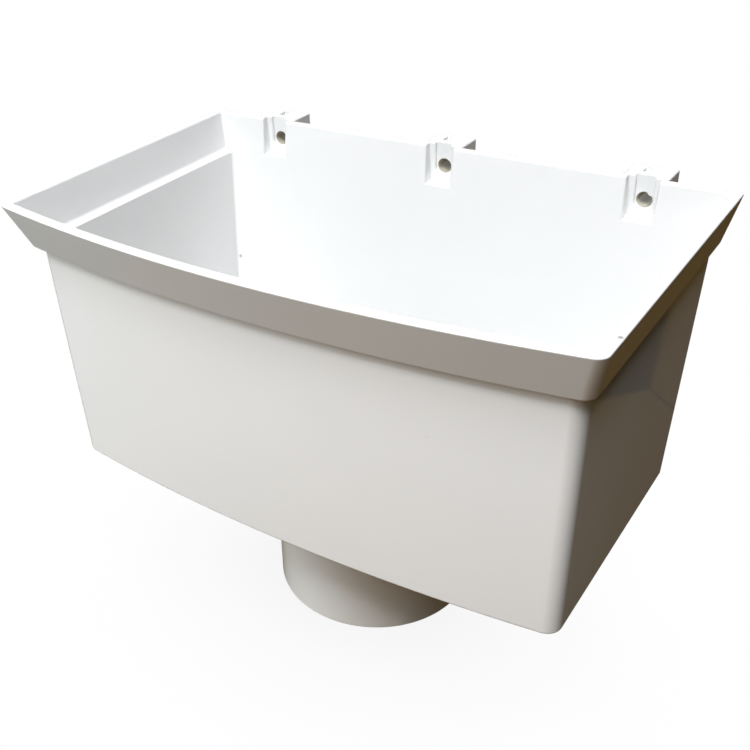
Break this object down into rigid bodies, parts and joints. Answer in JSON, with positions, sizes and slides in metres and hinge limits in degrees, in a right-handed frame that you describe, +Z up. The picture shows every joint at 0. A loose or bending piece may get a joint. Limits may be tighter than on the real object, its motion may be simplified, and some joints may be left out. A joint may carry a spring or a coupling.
{
  "type": "rainwater hopper head",
  "caption": "Open-topped white plastic rainwater hopper head with a flared collar, bowed front, wall-fixing lugs and a round outlet spigot.",
  "frame": {"origin": "middle of the flat fixing pad on the rear face of the middle lug, on the plane of the house wall, 15.7 mm below the rim", "axes": "+Z up, +Y from the hopper into the house wall, +X across the hopper; the bowed front faces -Y"},
  "size_m": [0.189, 0.1274, 0.1451],
  "materials": {
    "white_plastic": "gloss"
  },
  "bodies": {
    "root": {"hopper_head": "white_plastic"}
  },
  "joints": []
}
